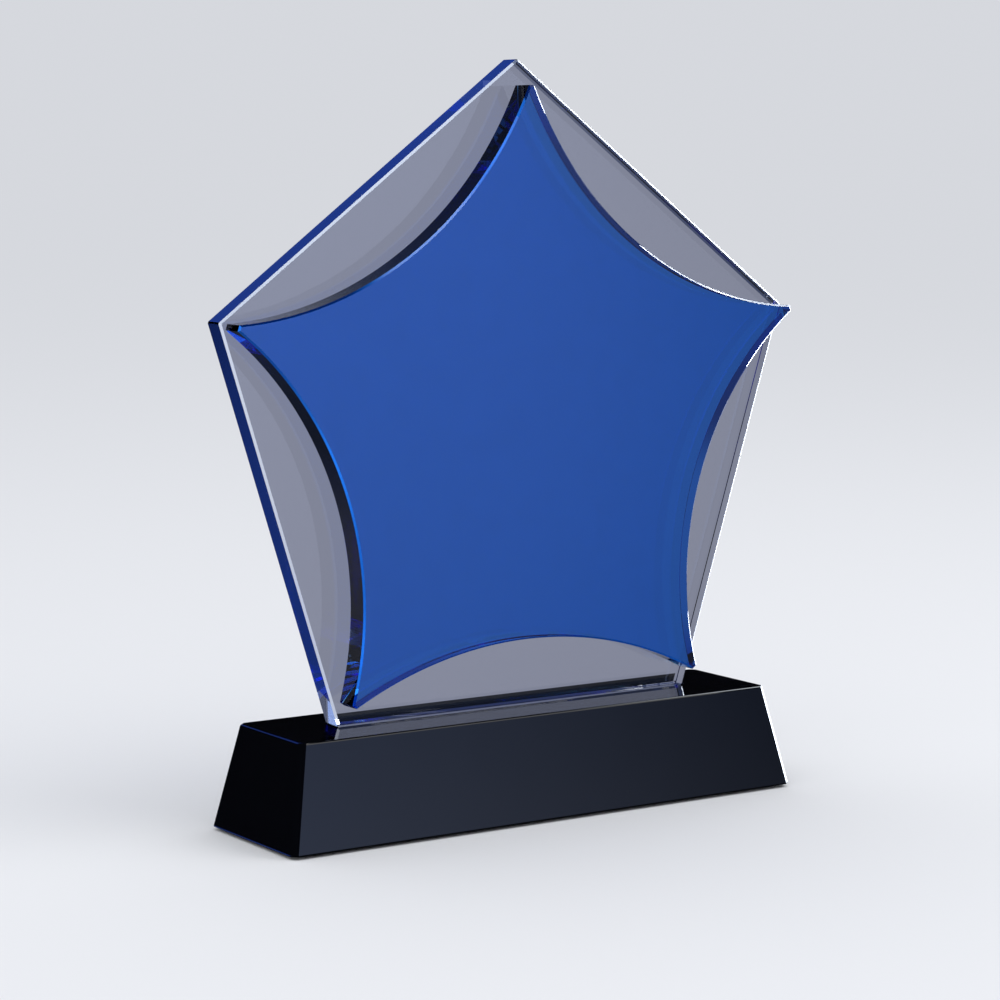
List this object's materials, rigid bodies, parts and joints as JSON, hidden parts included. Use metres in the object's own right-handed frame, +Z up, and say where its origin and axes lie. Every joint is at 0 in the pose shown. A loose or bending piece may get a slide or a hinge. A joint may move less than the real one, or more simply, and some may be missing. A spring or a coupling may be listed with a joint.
{
  "type": "crystal award",
  "caption": "Clear five-sided crystal plate carrying a blue star with hollow edges, standing upright on a long black crystal base.",
  "frame": {"origin": "centre of the underside, on the surface that the award stands on", "axes": "+Z up, -Y out of the front with the blue star, +X to the right as seen from the front"},
  "size_m": [0.223, 0.0548, 0.2506],
  "materials": {
    "clear_crystal": "polished clear optical glass",
    "blue_crystal": "polished blue glass, tinted right through",
    "black_crystal": "polished black glass",
    "clear_adhesive": "clear cured adhesive",
    "black_felt": "matt felt"
  },
  "bodies": {
    "root": {"felt_pad": "black_felt", "base_block": "black_crystal", "foot_bond_film": "clear_adhesive", "pentagon_plate": "clear_crystal", "star_bond_film": "clear_adhesive", "star_plate": "blue_crystal"}
  },
  "joints": []
}
